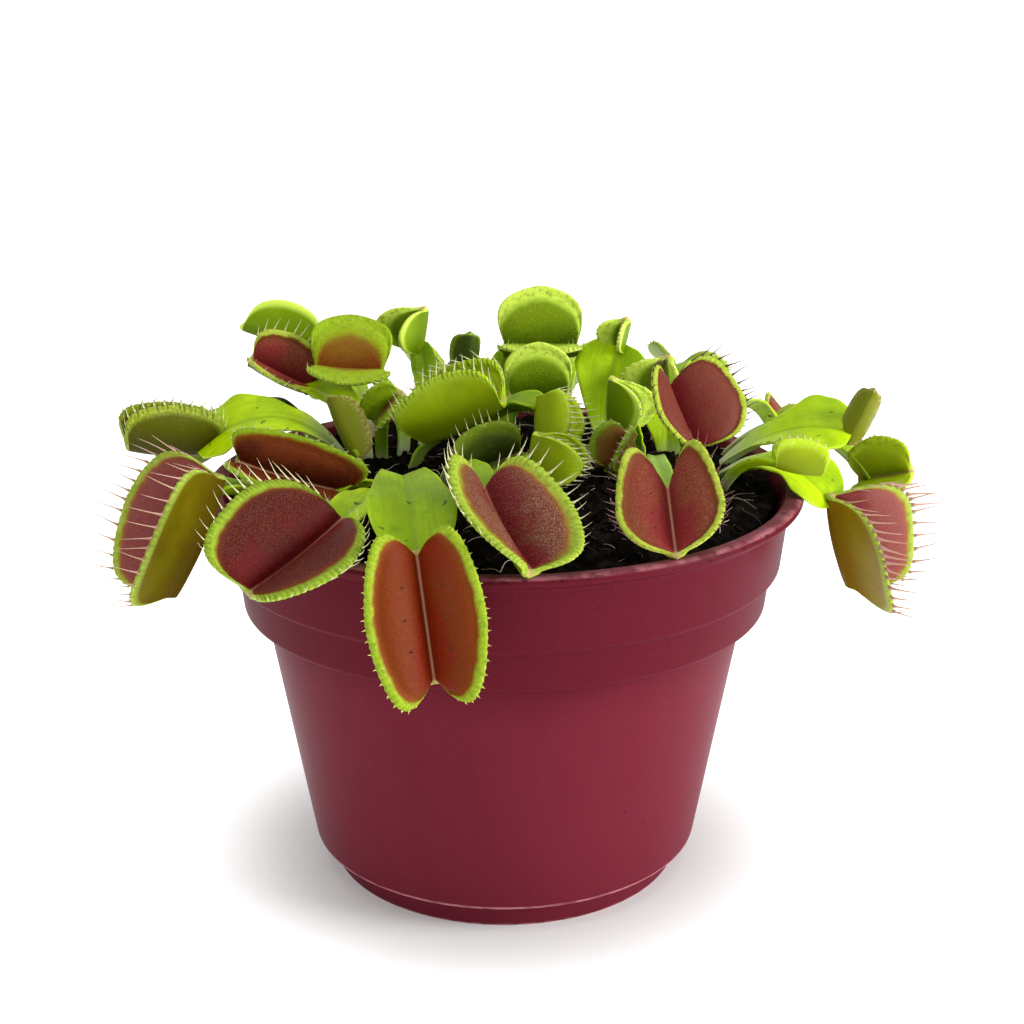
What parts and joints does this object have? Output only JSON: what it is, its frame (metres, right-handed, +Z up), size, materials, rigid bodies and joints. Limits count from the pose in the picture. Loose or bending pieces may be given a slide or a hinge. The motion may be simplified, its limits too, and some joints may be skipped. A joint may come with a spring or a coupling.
{
  "type": "potted venus flytrap",
  "caption": "Venus flytrap in a round stepped plastic pot: winged leaf stalks on a mound of peat, each ending in a two-lobed snap trap fringed with teeth.",
  "frame": {"origin": "centre of the pot's underside, in the plane it stands on", "axes": "+Z up, -Y towards the side with the large hanging trap, +X towards the trap hanging out on the right"},
  "size_m": [0.1706, 0.1494, 0.1162],
  "materials": {
    "pot": "satin burgundy plastic, scuffed pale along the lip and the foot",
    "peat": "damp near-black peat with fine fibres and roots",
    "leaf": "waxy bright green, with dark red faces inside the traps and a lime margin"
  },
  "bodies": {
    "root": {"pot": "pot", "soil": "peat", "leaf_front_hanging": "leaf", "leaf_front_middle": "leaf", "leaf_front_left": "leaf", "leaf_left_behind": "leaf", "leaf_left_hanging": "leaf", "leaf_far_left": "leaf", "leaf_front_right": "leaf", "leaf_right_centre": "leaf", "leaf_right_hanging": "leaf", "leaf_centre_shut": "leaf", "leaf_centre_nodding": "leaf", "leaf_centre_round": "leaf", "leaf_centre_dark": "leaf", "leaf_centre_low": "leaf", "leaf_centre_arched": "leaf", "leaf_centre_high": "leaf", "leaf_bud_dark": "leaf", "leaf_bud_left": "leaf", "leaf_left_low": "leaf", "leaf_left_broad": "leaf", "leaf_left_ruddy": "leaf", "leaf_left_pale": "leaf", "leaf_left_high": "leaf", "leaf_right_fan": "leaf", "leaf_right_young": "leaf", "leaf_right_upright": "leaf", "leaf_right_bud": "leaf", "leaf_right_lying": "leaf", "leaf_right_edge": "leaf", "leaf_back_right_low": "leaf", "leaf_back_right": "leaf", "leaf_back_middle": "leaf", "leaf_back_left": "leaf", "leaf_back_left_wide": "leaf", "leaf_back_left_low": "leaf"}
  },
  "joints": []
}
